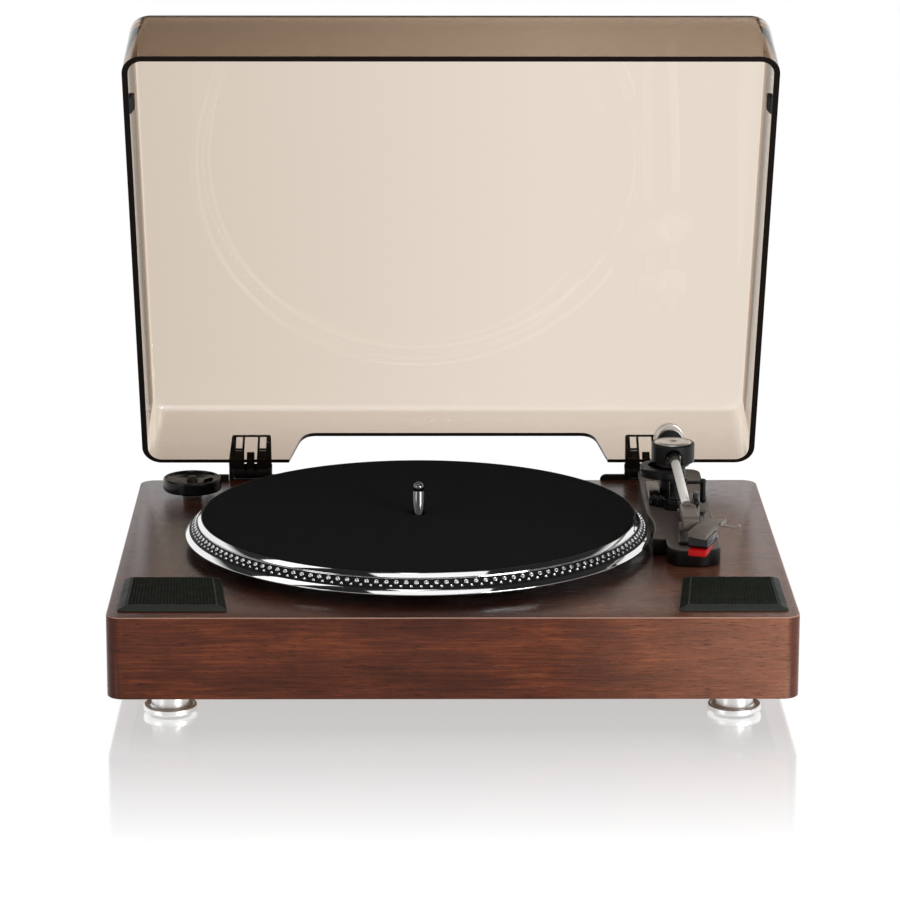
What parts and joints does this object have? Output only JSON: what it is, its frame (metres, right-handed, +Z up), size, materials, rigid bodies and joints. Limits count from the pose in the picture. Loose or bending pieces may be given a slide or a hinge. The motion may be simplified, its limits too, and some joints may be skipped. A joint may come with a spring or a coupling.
{
  "type": "record player",
  "caption": "Belt-drive record player: wooden plinth with corner speakers, strobe-rim platter, straight tonearm with lift and rest, and a smoked cover that hinges open.",
  "frame": {"origin": "centre of the bounding box in plan, at the undersides of the foot pads", "axes": "+X to the right as the user faces the front, +Y to the back, +Z up"},
  "size_m": [0.42, 0.3806, 0.4011],
  "materials": {
    "mahogany": "satin, horizontal grain",
    "fibreboard": "matte",
    "foot_metal": "satin turned",
    "rubber": "matte",
    "mesh_metal": "satin",
    "driver_metal": "matte",
    "platter_metal": "polished",
    "felt": "felt",
    "spindle_metal": "polished",
    "brass": "turned",
    "steel": "turned",
    "circuit": "satin",
    "black_plastic": "satin",
    "satin_black": "satin",
    "black_gloss": "gloss",
    "panel_dark": "semi-gloss",
    "grey_plastic": "satin",
    "jack_red": "gloss",
    "jack_white": "gloss",
    "smoked_clear": "clear, smoked",
    "cap_metal": "spun",
    "tube_metal": "satin",
    "weight_metal": "satin",
    "stylus_red": "gloss"
  },
  "bodies": {
    "chassis": {"plinth_shell": "mahogany", "bottom_plate": "fibreboard", "speaker_grille_left": "mesh_metal", "speaker_grille_right": "mesh_metal", "speaker_driver_left": "driver_metal", "speaker_driver_right": "driver_metal", "bearing_sleeve": "brass", "motor": "steel", "drive_belt": "rubber", "main_board": "circuit", "jack_panel": "black_plastic", "phono_jack_left": "jack_white", "phono_jack_right": "jack_red", "dc_socket": "black_gloss", "adapter_peg": "black_plastic", "tonearm_base": "grey_plastic", "lift_housing": "black_gloss", "switch_panel": "panel_dark", "pivot_tower": "black_plastic", "arm_rest": "satin_black", "foot_front_left": "foot_metal", "foot_pad_front_left": "rubber", "foot_front_right": "foot_metal", "foot_pad_front_right": "rubber", "foot_rear_left": "foot_metal", "foot_pad_rear_left": "rubber", "foot_rear_right": "foot_metal", "foot_pad_rear_right": "rubber", "hinge_bracket_left": "black_plastic", "hinge_pin_left": "steel", "hinge_bracket_right": "black_plastic", "hinge_pin_right": "steel"},
    "cover": {"dust_cover": "smoked_clear", "cover_bumper_left": "rubber", "cover_bumper_right": "rubber", "hinge_arm_left": "black_plastic", "hinge_arm_right": "black_plastic"},
    "turntable": {"platter": "platter_metal", "felt_mat": "felt", "main_spindle": "spindle_metal"},
    "pulley": {"motor_pulley": "brass"},
    "arm_swivel": {"pivot_shaft": "satin_black", "pivot_housing": "black_plastic", "pivot_cap": "cap_metal", "pivot_axle": "steel"},
    "arm": {"tonearm_tube": "tube_metal", "arm_bearing_block": "satin_black", "tube_collar": "grey_plastic", "headshell": "grey_plastic", "finger_lift": "grey_plastic", "cartridge": "black_gloss", "stylus_assembly": "stylus_red"},
    "balance_weight": {"counterweight": "weight_metal"},
    "force_dial": {"counterweight_dial": "black_plastic"},
    "lever": {"cue_lever": "black_gloss"},
    "lift": {"lift_platform": "black_plastic"},
    "clip": {"rest_clip": "black_plastic"},
    "adapter": {"adapter_45": "black_gloss"},
    "speed_switch": {"speed_slide": "black_plastic"},
    "volume": {"volume_knob": "black_plastic"}
  },
  "joints": [
    {"name": "cover_hinge", "type": "hinge", "parent": "chassis", "child": "cover", "pos_m": [0, 0.14966, 0.0748], "axis": [-1, 0, 0], "range_deg": [-65.5, 0]},
    {"name": "platter_spin", "type": "hinge", "parent": "chassis", "child": "turntable", "pos_m": [-0.0207, -0.01534, 0.0867], "axis": [0, 0, -1], "continuous": true},
    {"name": "motor_pulley_spin", "type": "hinge", "parent": "chassis", "child": "pulley", "pos_m": [-0.0995, 0.04623, 0.0777], "axis": [0, 0, -1], "continuous": true},
    {"name": "tonearm_swing", "type": "hinge", "parent": "chassis", "child": "arm_swivel", "pos_m": [0.1475, 0.05516, 0.1107], "axis": [0, 0, -1], "range_deg": [0, 50]},
    {"name": "tonearm_lift", "type": "hinge", "parent": "arm_swivel", "child": "arm", "pos_m": [0.1475, 0.05516, 0.1107], "axis": [-1, 0, 0], "range_deg": [0, 7]},
    {"name": "counterweight_slide", "type": "slide", "parent": "arm", "child": "balance_weight", "axis": [0, 1, 0], "range_m": [0, 0.005]},
    {"name": "force_dial_turn", "type": "hinge", "parent": "arm", "child": "force_dial", "pos_m": [0.1475, 0.08416, 0.1107], "axis": [0, 1, 0], "range_deg": [-180, 180]},
    {"name": "cue_lever_tip", "type": "hinge", "parent": "chassis", "child": "lever", "pos_m": [0.1657, 0.02716, 0.0983], "axis": [-1, 0, 0], "range_deg": [0, 65]},
    {"name": "lift_drop", "type": "slide", "parent": "chassis", "child": "lift", "axis": [0, 0, -1], "range_m": [0, 0.0035]},
    {"name": "rest_clip_turn", "type": "hinge", "parent": "chassis", "child": "clip", "pos_m": [0.1534, -0.08084, 0.1132], "axis": [0, -1, 0], "range_deg": [0, 262]},
    {"name": "adapter_lift_off", "type": "slide", "parent": "chassis", "child": "adapter", "axis": [0, 0, 1], "range_m": [0, 0.015]},
    {"name": "speed_switch_slide", "type": "slide", "parent": "chassis", "child": "speed_switch", "axis": [0.075, 0.9972, 0], "range_m": [-0.0035, 0.0035]},
    {"name": "volume_turn", "type": "hinge", "parent": "chassis", "child": "volume", "pos_m": [0.0485, 0.15016, 0.04485], "axis": [0, 1, 0], "range_deg": [0, 270]}
  ],
  "couplings": [
    {"joint": "motor_pulley_spin", "follows": "platter_spin", "ratio": 13.281},
    {"joint": "cue_lever_tip", "follows": "lift_drop", "rad_per_m": 324}
  ]
}
